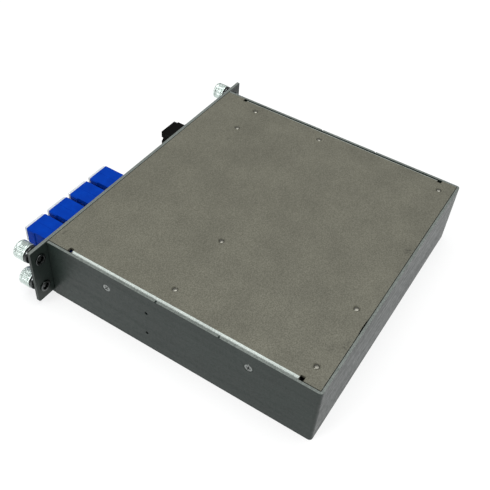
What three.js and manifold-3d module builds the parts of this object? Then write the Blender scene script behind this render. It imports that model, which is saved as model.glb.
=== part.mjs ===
// Fiber termination box: a sheet-metal module with duplex and multifibre adapters on its
// front panel, captive thumbscrews on its two ears, and the fan-out harnesses inside.
// Millimetres. X runs across the front panel, Y from front to back, Z up.
// The origin is the middle of the base tray's underside.
import * as THREE from "three";
import { mergeVertices } from "three/addons/utils/BufferGeometryUtils.js";
import Module from "manifold-3d";

const wasm = await Module();
wasm.setup();

// ---------------------------------------------------------------- driving dimensions

const GAP = 0.3; // air kept between pieces that touch

const BODY_WIDTH = 150;
const BODY_DEPTH = 140;
const BODY_HEIGHT = 34.5;
const SHEET = 1.2; // tray and cover
const CORNER_RADIUS = 1.6; // bends between the tray's walls

const PANEL_THICKNESS = 1.5;
const PANEL_WIDTH = 170.4; // across both ears
const EAR_BOTTOM = 2.6; // the ears stop short of the resting face
const EAR_CHAMFER = 1;
const FRONT_LIP = 3; // upturned front edge of the tray

const COVER_FLANGE_BOTTOM = 20;
const COVER_FLANGE_FRONT = 13.4; // from the body's front plane
const COVER_FLANGE_REAR = 128.6;
const NOTCH_SIZE = 2.2; // bend relief between flange and flat edge
const STUD_RADIUS = 1.25;
const STUD_LENGTH = 6;

const SIDE_SCREW = { y: [33.6, 107.2], z: 25.3, head: 1.95, shank: 1, length: 4.2 };
const SPARE_HOLE = { y: 55.4, z: [9.8, 23.4], radius: 1.1 };

const THUMBSCREW = { x: 80.2, z: [27.4, 9.8], travel: 1.5 };
const EAR_HOLE_RADIUS = 2.7;

const ROW_Z = [26.9, 9.6]; // upper and lower adapter rows
const DUPLEX_X = [65.9, 51.35, 36.8, 22.25];
const MULTIFIBRE_X = -29.2;

const DUPLEX = {
  width: 12.8,
  height: 9.4,
  chamfer: 0.5,
  front: 13.8, // in front of the panel
  rear: 14, // behind the panel's front face
  necked: 1.8, // total width lost in the panel cut-out
  waist: 0.4, // depth of the side recess
  waistFront: 9.2, // where the recess starts and ends, in front of the panel
  waistRear: 1.8,
  portPitch: 6.25,
  port: 4.9,
  portDepth: 8.6,
  sleeveRadius: 1.1,
};

const MULTIFIBRE = {
  width: 12.4,
  height: 10.4,
  flangeWidth: 13.4,
  flangeHeight: 10.9,
  flangeThickness: 1.6,
  front: 6.3,
  rear: 13,
  portWidth: 9.6,
  portHeight: 6.4,
};

const DECK_BOTTOM = 16;
const DECK_THICKNESS = 1.5;
const DRUM = { x: 4.7, y: 22, outer: 28.5, wall: 2 };
const BOSS_RADIUS = 3;

const LEG_RADIUS = 1;
const LEG_PITCH = 2.5; // between neighbouring fibre legs
const TRUNK_RADIUS = 1.5;
const FANOUT = { width: 13, length: 22, height: 5, front: -12 };

// ---------------------------------------------------------------- derived places

const FRONT_Y = -BODY_DEPTH / 2; // back of the front panel
const PANEL_FRONT = FRONT_Y - PANEL_THICKNESS;
const HALF_WIDTH = BODY_WIDTH / 2;
const WALL_TOP = BODY_HEIGHT - 0.2;
const COVER_BOTTOM = BODY_HEIGHT - SHEET;
const COVER_HALF = HALF_WIDTH - SHEET - GAP;
const DECK_TOP = DECK_BOTTOM + DECK_THICKNESS;
const fromFront = (y) => FRONT_Y + y; // distance behind the body's front plane

// Flush studs in the cover, which carry the fibre deck: x, and y behind the front plane.
const STUDS = [
  [28.5, 63], [64.3, 63], [28.5, 131.8], [64.3, 131.8],
  [-66, 63], [-66, 131.8], [-48.2, 22.2], [-67, 22.2],
];

// ---------------------------------------------------------------- materials

const steel = (color, roughness) =>
  new THREE.MeshStandardMaterial({ color, roughness, metalness: 1 });
const plastic = (color, roughness) =>
  new THREE.MeshStandardMaterial({ color, roughness, metalness: 0 });

const MATERIAL = {
  tray: new THREE.MeshStandardMaterial({ color: 0x4a504d, roughness: 0.5, metalness: 0.3 }),
  cover: new THREE.MeshStandardMaterial({ color: 0x747268, roughness: 0.65, metalness: 0.2 }),
  screw: steel(0x3b3c3a, 0.4),
  knob: steel(0xcdd3d0, 0.25),
  collar: steel(0x2b2d2e, 0.3),
  ferrule: steel(0xb9bdbb, 0.25),
  spring: steel(0xa9adab, 0.3),
  duplex: plastic(0x0a4bb4, 0.35),
  clearCap: plastic(0xe8ecec, 0.4),
  multifibre: plastic(0x1c1d1e, 0.45),
  blackCap: plastic(0x141414, 0.7),
  plug: plastic(0x1d62c4, 0.4),
  fibre: plastic(0xf0d23a, 0.5),
  fanout: plastic(0x202224, 0.5),
  deck: plastic(0xd9dbd8, 0.6),
};

// ---------------------------------------------------------------- solid modelling helpers

// A closed three.js geometry as a manifold-3d solid.
function toSolid(geometry) {
  const bare = geometry.clone();
  bare.deleteAttribute("normal");
  bare.deleteAttribute("uv");
  const merged = mergeVertices(bare, 1e-4);
  const index = merged.index.array;
  return new wasm.Manifold(
    new wasm.Mesh({
      numProp: 3,
      vertProperties: new Float32Array(merged.attributes.position.array),
      triVerts: new Uint32Array(index),
    }),
  );
}

// A manifold-3d solid as a three.js geometry with flat-shaded faces.
function toGeometry(solid) {
  const mesh = solid.getMesh();
  const position = new Float32Array(mesh.numVert * 3);
  for (let i = 0; i < mesh.numVert; i += 1) {
    const start = i * mesh.numProp;
    position.set(mesh.vertProperties.subarray(start, start + 3), i * 3);
  }
  const geometry = new THREE.BufferGeometry();
  geometry.setAttribute("position", new THREE.BufferAttribute(position, 3));
  geometry.setIndex(new THREE.BufferAttribute(new Uint32Array(mesh.triVerts), 1));
  const flat = geometry.toNonIndexed();
  flat.computeVertexNormals();
  return flat;
}

// A box from its lowest corner to its highest one.
function block(low, high) {
  const size = high.map((value, axis) => value - low[axis]);
  const geometry = new THREE.BoxGeometry(...size);
  geometry.translate(...low.map((value, axis) => value + size[axis] / 2));
  return toSolid(geometry);
}

// A box centred on x and z, between two depths.
function bar(x, z, width, height, yFront, yRear) {
  return block(
    [x - width / 2, yFront, z - height / 2],
    [x + width / 2, yRear, z + height / 2],
  );
}

// A cylinder along one axis, from one place on it to another.
function rod(axis, centre, radius, from, to, sides = 16, endRadius = radius) {
  const geometry = new THREE.CylinderGeometry(endRadius, radius, to - from, sides);
  geometry.translate(0, (from + to) / 2, 0);
  if (axis === "x") geometry.rotateZ(-Math.PI / 2);
  if (axis === "z") geometry.rotateX(Math.PI / 2);
  geometry.translate(...centre);
  return toSolid(geometry);
}

// A plan outline raised from one height to another.
function raise(points, zLow, zHigh) {
  const shape = new THREE.Shape(points.map(([x, y]) => new THREE.Vector2(x, y)));
  const geometry = new THREE.ExtrudeGeometry(shape, {
    depth: zHigh - zLow,
    bevelEnabled: false,
  });
  geometry.translate(0, 0, zLow);
  return toSolid(geometry);
}

// A turned piece about the Y axis: its profile is a list of [radius, y].
function turn(profile, sides = 20) {
  let doubleArea = 0;
  profile.forEach(([r, y], i) => {
    const [nextR, nextY] = profile[(i + 1) % profile.length];
    doubleArea += r * nextY - nextR * y;
  });
  const ordered = doubleArea > 0 ? [...profile] : [...profile].reverse();
  const onAxis = profile.some(([r]) => r === 0);
  if (!onAxis) ordered.push(ordered[0]);
  while (onAxis && !(ordered[0][0] === 0 && ordered.at(-1)[0] === 0)) {
    ordered.push(ordered.shift());
  }
  const points = ordered.map(([r, y]) => new THREE.Vector2(r, y));
  return toSolid(new THREE.LatheGeometry(points, sides));
}

// A round tube along a curve.
function tube(curve, radius, steps, sides = 8) {
  const section = new THREE.Shape();
  for (let i = 0; i < sides; i += 1) {
    const angle = (2 * Math.PI * i) / sides;
    const point = [radius * Math.cos(angle), radius * Math.sin(angle)];
    if (i === 0) section.moveTo(...point);
    else section.lineTo(...point);
  }
  return toSolid(
    new THREE.ExtrudeGeometry(section, { steps, extrudePath: curve, bevelEnabled: false }),
  );
}

const union = (solids) => solids.reduce((sum, next) => sum.add(next));
const cut = (solid, tools) => tools.reduce((rest, tool) => rest.subtract(tool), solid);

// ---------------------------------------------------------------- the assembly

const box = new THREE.Group();

function addPiece(name, solid, material, parent = box) {
  const mesh = new THREE.Mesh(toGeometry(solid), material);
  mesh.name = name;
  parent.add(mesh);
}

function groupAt(x, y, z) {
  const group = new THREE.Group();
  group.position.set(x, y, z);
  box.add(group);
  return group;
}

// Plan outline of the tray with its two rear corners bent to a radius, inset by some amount.
function trayOutline(inset) {
  const half = HALF_WIDTH - inset;
  const rear = BODY_DEPTH / 2 - inset;
  const radius = Math.max(CORNER_RADIUS - inset, 0.4);
  const shape = new THREE.Shape();
  shape.moveTo(-half, FRONT_Y + GAP);
  shape.lineTo(half, FRONT_Y + GAP);
  shape.lineTo(half, rear - radius);
  shape.absarc(half - radius, rear - radius, radius, 0, Math.PI / 2);
  shape.lineTo(-half + radius, rear);
  shape.absarc(-half + radius, rear - radius, radius, Math.PI / 2, Math.PI);
  return shape.getPoints(4).map((point) => [point.x, point.y]);
}

// Countersunk hole or screw head in a side wall, wide at the outer face.
function sideCone(side, y, clearance) {
  const outer = SIDE_SCREW.head + clearance;
  const inner = SIDE_SCREW.shank + clearance;
  const cone = rod("x", [0, 0, 0], inner, HALF_WIDTH - SHEET, HALF_WIDTH, 16, outer);
  const turned = side > 0 ? cone : cone.rotate([0, 0, 180]);
  return turned.translate([0, fromFront(y), SIDE_SCREW.z]);
}

function makeTray() {
  const shell = raise(trayOutline(0), 0, WALL_TOP);
  const hollow = raise(trayOutline(SHEET), SHEET, BODY_HEIGHT);
  const lip = block(
    [-HALF_WIDTH + SHEET, FRONT_Y + GAP, SHEET / 2],
    [HALF_WIDTH - SHEET, FRONT_Y + GAP + SHEET, SHEET + FRONT_LIP],
  );
  const openFront = block(
    [-HALF_WIDTH + SHEET, FRONT_Y - 1, SHEET],
    [HALF_WIDTH - SHEET, FRONT_Y + SHEET * 2, BODY_HEIGHT],
  );
  const holes = [];
  for (const side of [1, -1]) {
    for (const y of SIDE_SCREW.y) holes.push(sideCone(side, y, GAP));
  }
  for (const z of SPARE_HOLE.z) {
    const centre = [0, fromFront(SPARE_HOLE.y), z];
    const reach = HALF_WIDTH + 1;
    holes.push(rod("x", centre, SPARE_HOLE.radius, -reach, reach, 12));
  }
  return cut(cut(shell, [hollow, openFront]).add(lip), holes);
}

// Cross-section of the cover between its relief notches, with rounded bends at both sides.
function coverSection() {
  const bend = SHEET * 1.3;
  const shape = new THREE.Shape();
  const inner = COVER_HALF - SHEET;
  shape.moveTo(-COVER_HALF, COVER_FLANGE_BOTTOM);
  shape.lineTo(-inner, COVER_FLANGE_BOTTOM);
  shape.lineTo(-inner, COVER_BOTTOM);
  shape.lineTo(inner, COVER_BOTTOM);
  shape.lineTo(inner, COVER_FLANGE_BOTTOM);
  shape.lineTo(COVER_HALF, COVER_FLANGE_BOTTOM);
  shape.lineTo(COVER_HALF, BODY_HEIGHT - bend);
  shape.absarc(COVER_HALF - bend, BODY_HEIGHT - bend, bend, 0, Math.PI / 2);
  shape.lineTo(-COVER_HALF + bend, BODY_HEIGHT);
  shape.absarc(-COVER_HALF + bend, BODY_HEIGHT - bend, bend, Math.PI / 2, Math.PI);
  return shape;
}

function makeCover() {
  const flangeFront = fromFront(COVER_FLANGE_FRONT);
  const flangeRear = fromFront(COVER_FLANGE_REAR);
  const pan = new THREE.ExtrudeGeometry(coverSection(), {
    depth: flangeRear - flangeFront,
    bevelEnabled: false,
    curveSegments: 4,
  });
  pan.rotateX(Math.PI / 2);
  pan.translate(0, flangeRear, 0);
  const rear = BODY_DEPTH / 2 - SHEET - GAP;
  const flat = (low, high) => block([-COVER_HALF, low, COVER_BOTTOM], [COVER_HALF, high, BODY_HEIGHT]);
  const pieces = [
    toSolid(pan),
    flat(FRONT_Y + GAP, flangeFront + 0.1),
    flat(flangeRear - 0.1, rear),
  ];
  for (const [x, y] of STUDS) {
    const top = BODY_HEIGHT - SHEET / 2;
    const centre = [x, fromFront(y), 0];
    pieces.push(rod("z", centre, STUD_RADIUS, COVER_BOTTOM - STUD_LENGTH, top, 12));
  }
  const cuts = [];
  for (const side of [1, -1]) {
    for (const y of [flangeFront - NOTCH_SIZE, flangeRear]) {
      const xs = [side * (COVER_HALF - NOTCH_SIZE), side * (COVER_HALF + 1)].sort((a, b) => a - b);
      cuts.push(block([xs[0], y, COVER_BOTTOM - 1], [xs[1], y + NOTCH_SIZE, BODY_HEIGHT + 1]));
    }
    for (const y of SIDE_SCREW.y) {
      const reach = side > 0 ? [HALF_WIDTH - 8, HALF_WIDTH] : [-HALF_WIDTH, -HALF_WIDTH + 8];
      const centre = [0, fromFront(y), SIDE_SCREW.z];
      cuts.push(rod("x", centre, SIDE_SCREW.shank + GAP, ...reach, 12));
    }
  }
  return cut(union(pieces), cuts);
}

function makeSideScrew(side) {
  const solid = union([
    rod("x", [0, 0, 0], SIDE_SCREW.shank, HALF_WIDTH - SHEET, HALF_WIDTH - 0.1, 16, SIDE_SCREW.head),
    rod("x", [0, 0, 0], SIDE_SCREW.shank, HALF_WIDTH - SIDE_SCREW.length, HALF_WIDTH - SHEET / 2, 12),
  ]);
  const armLength = SIDE_SCREW.head * 1.1;
  const armWidth = 0.5;
  const depth = [HALF_WIDTH - 0.8, HALF_WIDTH + 1];
  const cross = [
    block([depth[0], -armLength / 2, -armWidth / 2], [depth[1], armLength / 2, armWidth / 2]),
    block([depth[0], -armWidth / 2, -armLength / 2], [depth[1], armWidth / 2, armLength / 2]),
  ];
  const screw = cut(solid, cross);
  return side > 0 ? screw : screw.rotate([0, 0, 180]);
}

function makePanel() {
  const half = PANEL_WIDTH / 2;
  const outline = [
    [-half, BODY_HEIGHT], [-half, EAR_BOTTOM + EAR_CHAMFER], [-half + EAR_CHAMFER, EAR_BOTTOM],
    [-HALF_WIDTH, EAR_BOTTOM], [-HALF_WIDTH, 0], [HALF_WIDTH, 0], [HALF_WIDTH, EAR_BOTTOM],
    [half - EAR_CHAMFER, EAR_BOTTOM], [half, EAR_BOTTOM + EAR_CHAMFER], [half, BODY_HEIGHT],
  ];
  const plate = raise(outline, 0, PANEL_THICKNESS).rotate([90, 0, 0]).translate([0, FRONT_Y, 0]);
  const through = [PANEL_FRONT - 1, FRONT_Y + 1];
  const cuts = [];
  for (const z of ROW_Z) {
    const duplexWidth = DUPLEX.width - DUPLEX.necked + 2 * GAP;
    const duplexHeight = DUPLEX.height - 1 + 2 * GAP;
    for (const x of DUPLEX_X) cuts.push(bar(x, z, duplexWidth, duplexHeight, ...through));
    const wide = MULTIFIBRE.width + 2 * GAP;
    cuts.push(bar(MULTIFIBRE_X, z, wide, MULTIFIBRE.height + 2 * GAP, ...through));
  }
  for (const x of [THUMBSCREW.x, -THUMBSCREW.x]) {
    for (const z of THUMBSCREW.z) cuts.push(rod("y", [x, 0, z], EAR_HOLE_RADIUS, ...through, 20));
  }
  return cut(plate, cuts);
}

// Captive thumbscrew, drawn along Y with the panel's front face at y = 0, at rest pulled out.
const FERRULE = {
  bore: 1.9, sleeve: 2.4, flange: 4.2, flangeFront: -1.1,
  barrel: 3.2, cup: 2.7, mouth: -2.1, floor: -0.9, proud: 0.7,
};
const SKIRT = { outer: 4.3, inner: 3.5, rear: FERRULE.flangeFront - THUMBSCREW.travel - GAP, front: -4.1 };
const HUB = { outer: 3.2, inner: 2.8, shoulder: -8.8, front: -10.3, web: 0.2 };
const KNOB = { radius: 4.55, bore: HUB.outer + GAP, rear: SKIRT.front - GAP, front: -10.7 };
const SHANK = { radius: 1.5, tip: 1.4, point: 0.4, slotWidth: 0.8, slotDepth: 1 };

function makeFerrule() {
  const back = PANEL_THICKNESS + FERRULE.proud;
  return turn([
    [FERRULE.bore, back], [FERRULE.sleeve, back], [FERRULE.sleeve, -GAP], [FERRULE.flange, -GAP],
    [FERRULE.flange, FERRULE.flangeFront], [FERRULE.barrel, FERRULE.flangeFront],
    [FERRULE.barrel, FERRULE.mouth], [FERRULE.cup, FERRULE.mouth],
    [FERRULE.cup, FERRULE.floor], [FERRULE.bore, FERRULE.floor],
  ]);
}

// Screw shaft, the spring cup behind its slotted head, and the dark skirt over the ferrule.
function makeShank() {
  const { radius, tip, point } = SHANK;
  const web = SKIRT.front + HUB.web;
  const solid = turn([
    [0, tip], [radius - point, tip], [radius, tip - point], [radius, HUB.shoulder],
    [HUB.inner, HUB.shoulder], [HUB.inner, web], [SKIRT.inner, web], [SKIRT.inner, SKIRT.rear],
    [SKIRT.outer, SKIRT.rear], [SKIRT.outer, SKIRT.front], [HUB.outer, SKIRT.front],
    [HUB.outer, HUB.front], [0, HUB.front],
  ]);
  const slotFloor = HUB.front + SHANK.slotDepth;
  return solid.subtract(bar(0, 0, HUB.outer * 3, SHANK.slotWidth, HUB.front - 1, slotFloor));
}

// Grip sleeve around the spring cup, grooved near its front edge.
function makeKnob() {
  const edge = 0.5;
  const groove = { front: KNOB.front + 1.3, width: 0.6, depth: 0.25, slope: 0.2 };
  const floor = KNOB.radius - groove.depth;
  const grooveRear = groove.front + groove.width;
  return turn([
    [KNOB.bore, KNOB.rear], [KNOB.radius - edge / 2, KNOB.rear], [KNOB.radius, KNOB.rear - edge / 2],
    [KNOB.radius, grooveRear], [floor, grooveRear - groove.slope],
    [floor, groove.front + groove.slope], [KNOB.radius, groove.front],
    [KNOB.radius, KNOB.front + edge], [KNOB.radius - edge, KNOB.front], [KNOB.bore, KNOB.front],
  ]);
}

// The coil is drawn at its shortest length, against the hub's shoulder, and travels with the screw.
function makeSpring() {
  const turns = 4;
  const sides = 6;
  const stepsPerTurn = 10;
  const wire = 0.22;
  const coil = {
    radius: 2.15,
    front: HUB.shoulder + wire + 0.1,
    rear: FERRULE.floor - THUMBSCREW.travel - wire - 0.1,
  };
  class Helix extends THREE.Curve {
    getPoint(t, target = new THREE.Vector3()) {
      const angle = 2 * Math.PI * turns * t;
      const y = THREE.MathUtils.lerp(coil.front, coil.rear, t);
      return target.set(coil.radius * Math.cos(angle), y, coil.radius * Math.sin(angle));
    }
  }
  return tube(new Helix(), wire, turns * stepsPerTurn, sides);
}

// Duplex adapter in its own frame: y = 0 at the panel's front face, centred on x and z.
function makeDuplexAdapter() {
  const { chamfer, front, rear, port, portDepth, waistFront, waistRear } = DUPLEX;
  const half = DUPLEX.width / 2;
  const top = DUPLEX.height / 2;
  const waist = half - DUPLEX.waist;
  const ramp = 0.5;
  const side = [
    [half - chamfer, -front], [half, -front + chamfer], [half, -waistFront],
    [waist, -waistFront + ramp], [waist, -waistRear - ramp], [half, -waistRear], [half, -GAP],
  ];
  const mirrored = side.map(([x, y]) => [-x, y]).reverse();
  const plan = raise([...side, ...mirrored], -top, top);
  const corner = [
    [half, -top + chamfer], [half, top - chamfer], [half - chamfer, top],
    [-half + chamfer, top], [-half, top - chamfer], [-half, -top + chamfer],
    [-half + chamfer, -top], [half - chamfer, -top],
  ];
  const section = raise(corner, 0, front + 1).rotate([90, 0, 0]);
  const neckHeight = DUPLEX.height - 1;
  const neck = bar(0, 0, DUPLEX.width - DUPLEX.necked, neckHeight, -GAP - 0.1, rear);
  const key = { half: 1.1, length: 4, top: port / 2 + 1 };
  const cuts = [];
  for (const x of [-DUPLEX.portPitch / 2, DUPLEX.portPitch / 2]) {
    const frontEnd = -front + portDepth;
    const rearEnd = rear - portDepth;
    const keyX = [x - key.half, x + key.half];
    cuts.push(bar(x, 0, port, port, -front - 1, frontEnd));
    cuts.push(bar(x, 0, port, port, rearEnd, rear + 1));
    cuts.push(rod("y", [x, 0, 0], DUPLEX.sleeveRadius, frontEnd - 1, rearEnd + 1, 10));
    cuts.push(block([keyX[0], -front - 1, 0], [keyX[1], -front + key.length, key.top]));
    cuts.push(block([keyX[0], rear - key.length, 0], [keyX[1], rear + 1, key.top]));
  }
  return cut(plan.intersect(section).add(neck), cuts);
}

function makeDuplexCap() {
  const head = { width: 11.8, height: 8.4, length: 1.2, corner: 0.6 };
  const stub = { size: DUPLEX.port - 2 * GAP, length: 6 };
  const rear = -DUPLEX.front - GAP;
  const front = rear - head.length;
  const half = head.width / 2;
  const side = [[half - head.corner, front], [half, front + head.corner], [half, rear]];
  const outline = [...side, ...side.map(([x, y]) => [-x, y]).reverse()];
  const solids = [raise(outline, -head.height / 2, head.height / 2)];
  for (const x of [-DUPLEX.portPitch / 2, DUPLEX.portPitch / 2]) {
    solids.push(bar(x, 0, stub.size, stub.size, rear - 0.1, rear + stub.length));
  }
  return union(solids);
}

function makeMultifibreAdapter() {
  const { width, height, front, rear, portWidth, portHeight } = MULTIFIBRE;
  const flangeFront = -GAP - MULTIFIBRE.flangeThickness;
  const solid = union([
    bar(0, 0, width, height, -front, rear),
    bar(0, 0, MULTIFIBRE.flangeWidth, MULTIFIBRE.flangeHeight, flangeFront, -GAP),
  ]);
  const web = { middle: 3, half: 1.5, windowWidth: 6.6, windowHeight: 2.8 };
  const key = { width: 3, height: 1.4, length: 3 };
  const webFront = web.middle - web.half;
  const webRear = web.middle + web.half;
  const cuts = [
    bar(0, 0, portWidth, portHeight, -front - 1, webFront),
    bar(0, 0, portWidth, portHeight, webRear, rear + 1),
    bar(0, 0, web.windowWidth, web.windowHeight, webFront - 1, webRear + 1),
    bar(0, portHeight / 2, key.width, key.height, -front - 1, -front + key.length),
  ];
  return cut(solid, cuts);
}

// Press-in cap with a round finger notch in each side of its head.
function makeMultifibreCap() {
  const head = { width: 11.6, height: 9.8, length: 2.1, notch: 1.2 };
  const stub = {
    width: MULTIFIBRE.portWidth - 2 * GAP,
    height: MULTIFIBRE.portHeight - 2 * GAP,
    length: 4,
  };
  const rear = -MULTIFIBRE.front - GAP;
  const front = rear - head.length;
  const solid = union([
    bar(0, 0, head.width, head.height, front, rear),
    bar(0, 0, stub.width, stub.height, rear - 0.1, rear + stub.length),
  ]);
  const half = head.width / 2;
  return cut(solid, [-half, half].map((x) => rod("y", [x, 0, 0], head.notch, front - 1, rear + 0.05, 12)));
}

// Uniboot duplex plug in the adapter's rear ports.
const PLUG = { width: 11.4, height: 8, bodyRear: 24, bootRear: 33 };

function makeDuplexPlug() {
  const nose = DUPLEX.port - 2 * GAP;
  const solids = [
    bar(0, 0, PLUG.width, PLUG.height, DUPLEX.rear + GAP, PLUG.bodyRear),
    rod("y", [0, 0, 0], 2.6, PLUG.bodyRear - 0.5, PLUG.bootRear, 12, 1.7),
  ];
  for (const x of [-DUPLEX.portPitch / 2, DUPLEX.portPitch / 2]) {
    solids.push(bar(x, 0, nose, nose, DUPLEX.rear - 7, DUPLEX.rear + 1));
    solids.push(bar(x, PLUG.height / 2 + 0.3, 2, 1, DUPLEX.rear + 1.5, PLUG.bodyRear - 2));
  }
  return union(solids);
}

function makeMultifibrePlug() {
  const nose = [MULTIFIBRE.portWidth - 2 * GAP, MULTIFIBRE.portHeight - 2 * GAP];
  return union([
    bar(0, 0, ...nose, MULTIFIBRE.rear - 6, MULTIFIBRE.rear + 1),
    bar(0, 0, 12, 7.8, MULTIFIBRE.rear + GAP, MULTIFIBRE.rear + 13),
    rod("y", [0, 0, 0], 3, MULTIFIBRE.rear + 12, PLUG.bootRear, 12, 2.1),
  ]);
}

// Fibre deck: one moulding with bosses for the cover's studs and a winding drum on each face.
function makeDeck() {
  const edge = { x: 70, front: -20, rear: 66, armFront: -53, armRight: -44 };
  const outline = [
    [-edge.x, edge.armFront], [edge.armRight, edge.armFront], [edge.armRight, edge.front],
    [edge.x, edge.front], [edge.x, edge.rear], [-edge.x, edge.rear],
  ];
  const ringLow = SHEET + GAP;
  const ringHigh = COVER_BOTTOM - 1;
  const solids = [
    raise(outline, DECK_BOTTOM, DECK_TOP),
    rod("z", [DRUM.x, DRUM.y, 0], DRUM.outer, ringLow, ringHigh, 36),
  ];
  const cuts = [rod("z", [DRUM.x, DRUM.y, 0], DRUM.outer - DRUM.wall, 0, BODY_HEIGHT, 36)];
  for (const [x, y] of STUDS) {
    const centre = [x, fromFront(y), 0];
    solids.push(rod("z", centre, BOSS_RADIUS, DECK_BOTTOM, COVER_BOTTOM - GAP, 16));
    const holeBottom = COVER_BOTTOM - STUD_LENGTH - 1;
    cuts.push(rod("z", centre, STUD_RADIUS + GAP, holeBottom, BODY_HEIGHT, 12));
  }
  return cut(union(solids), cuts);
}

// One harness: four legs from the duplex plugs round the drum into the fan-out block.
function makeLegs(rowZ, restZ) {
  const blockRear = FANOUT.front + FANOUT.length + GAP;
  const start = PANEL_FRONT + PLUG.bootRear + GAP;
  const innermost = DRUM.outer + GAP + LEG_RADIUS;
  const z = restZ - 1;
  const solids = DUPLEX_X.map((x, i) => {
    const radius = innermost + (DUPLEX_X.length - 1 - i) * LEG_PITCH;
    const points = [
      [x, start, rowZ], [x, start + 4, rowZ],
      [THREE.MathUtils.lerp(x, DRUM.x + radius, 0.5), -24, (rowZ + z) / 2],
      [DRUM.x + radius, -11, z], [DRUM.x + radius, 6, z],
    ];
    const arcSteps = 8;
    for (let k = 0; k <= arcSteps; k += 1) {
      const angle = (Math.PI * k) / arcSteps;
      points.push([DRUM.x + radius * Math.cos(angle), DRUM.y + radius * Math.sin(angle), z]);
    }
    points.push([DRUM.x - radius, blockRear, z]);
    const curve = new THREE.CatmullRomCurve3(points.map((p) => new THREE.Vector3(...p)));
    curve.curveType = "centripetal";
    return tube(curve, LEG_RADIUS, 56);
  });
  const middle = DRUM.x - innermost - 1.5 * LEG_PITCH;
  const sleeve = bar(middle, z, 4 * LEG_PITCH + 0.6, 2.6, blockRear + 0.4, blockRear + 7);
  return union([...solids, sleeve]);
}

function makeTrunk(rowZ, restZ) {
  const points = [
    [MULTIFIBRE_X, PANEL_FRONT + PLUG.bootRear + GAP, rowZ],
    [MULTIFIBRE_X, -34, rowZ],
    [MULTIFIBRE_X, -18, restZ],
    [MULTIFIBRE_X, FANOUT.front - GAP, restZ],
  ];
  const curve = new THREE.CatmullRomCurve3(points.map((p) => new THREE.Vector3(...p)));
  return tube(curve, TRUNK_RADIUS, 12);
}

// ---------------------------------------------------------------- put together

addPiece("base_tray", makeTray(), MATERIAL.tray);
addPiece("top_cover", makeCover(), MATERIAL.cover);
addPiece("front_panel", makePanel(), MATERIAL.tray);
addPiece("fibre_deck", makeDeck(), MATERIAL.deck);

const sideScrews = [[1, 0], [1, 1], [-1, 0], [-1, 1]];
sideScrews.forEach(([side, index], i) => {
  const place = groupAt(0, fromFront(SIDE_SCREW.y[index]), SIDE_SCREW.z);
  addPiece(`cover_screw_${i + 1}`, makeSideScrew(side), MATERIAL.screw, place);
});

const thumbscrews = [THUMBSCREW.x, -THUMBSCREW.x].flatMap((x) => THUMBSCREW.z.map((z) => [x, z]));
thumbscrews.forEach(([x, z], i) => {
  const place = groupAt(x, PANEL_FRONT, z);
  addPiece(`thumbscrew_ferrule_${i + 1}`, makeFerrule(), MATERIAL.ferrule, place);
  addPiece(`thumbscrew_spring_${i + 1}`, makeSpring(), MATERIAL.spring, place);
  addPiece(`thumbscrew_shank_${i + 1}`, makeShank(), MATERIAL.collar, place);
  addPiece(`thumbscrew_knob_${i + 1}`, makeKnob(), MATERIAL.knob, place);
});

const blockWidth = FANOUT.width / 2;
ROW_Z.forEach((rowZ, row) => {
  DUPLEX_X.forEach((x, column) => {
    const number = row * DUPLEX_X.length + column + 1;
    const place = groupAt(x, PANEL_FRONT, rowZ);
    addPiece(`duplex_adapter_${number}`, makeDuplexAdapter(), MATERIAL.duplex, place);
    addPiece(`duplex_dust_cap_${number}`, makeDuplexCap(), MATERIAL.clearCap, place);
    addPiece(`duplex_plug_${number}`, makeDuplexPlug(), MATERIAL.plug, place);
  });
  const place = groupAt(MULTIFIBRE_X, PANEL_FRONT, rowZ);
  addPiece(`multifibre_adapter_${row + 1}`, makeMultifibreAdapter(), MATERIAL.multifibre, place);
  addPiece(`multifibre_dust_cap_${row + 1}`, makeMultifibreCap(), MATERIAL.blackCap, place);
  addPiece(`multifibre_plug_${row + 1}`, makeMultifibrePlug(), MATERIAL.multifibre, place);

  const floor = row === 0 ? DECK_TOP : SHEET;
  const restZ = floor + GAP + FANOUT.height / 2;
  const fanout = block(
    [MULTIFIBRE_X - blockWidth, FANOUT.front, floor + GAP],
    [MULTIFIBRE_X + blockWidth, FANOUT.front + FANOUT.length, floor + GAP + FANOUT.height],
  );
  addPiece(`fanout_block_${row + 1}`, fanout, MATERIAL.fanout);
  addPiece(`fibre_legs_${row + 1}`, makeLegs(rowZ, restZ), MATERIAL.fibre);
  addPiece(`trunk_fibre_${row + 1}`, makeTrunk(rowZ, restZ), MATERIAL.fibre);
});

export default box;
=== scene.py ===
"""Fiber termination box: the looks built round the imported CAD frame.

Lengths are in millimetres until a piece is finished, and in metres from then on. X runs across the
front panel, Y from front to back, Z up, as in the CAD.
"""
import math
import random

import bmesh
import bpy
from mathutils import Matrix, Vector


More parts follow.
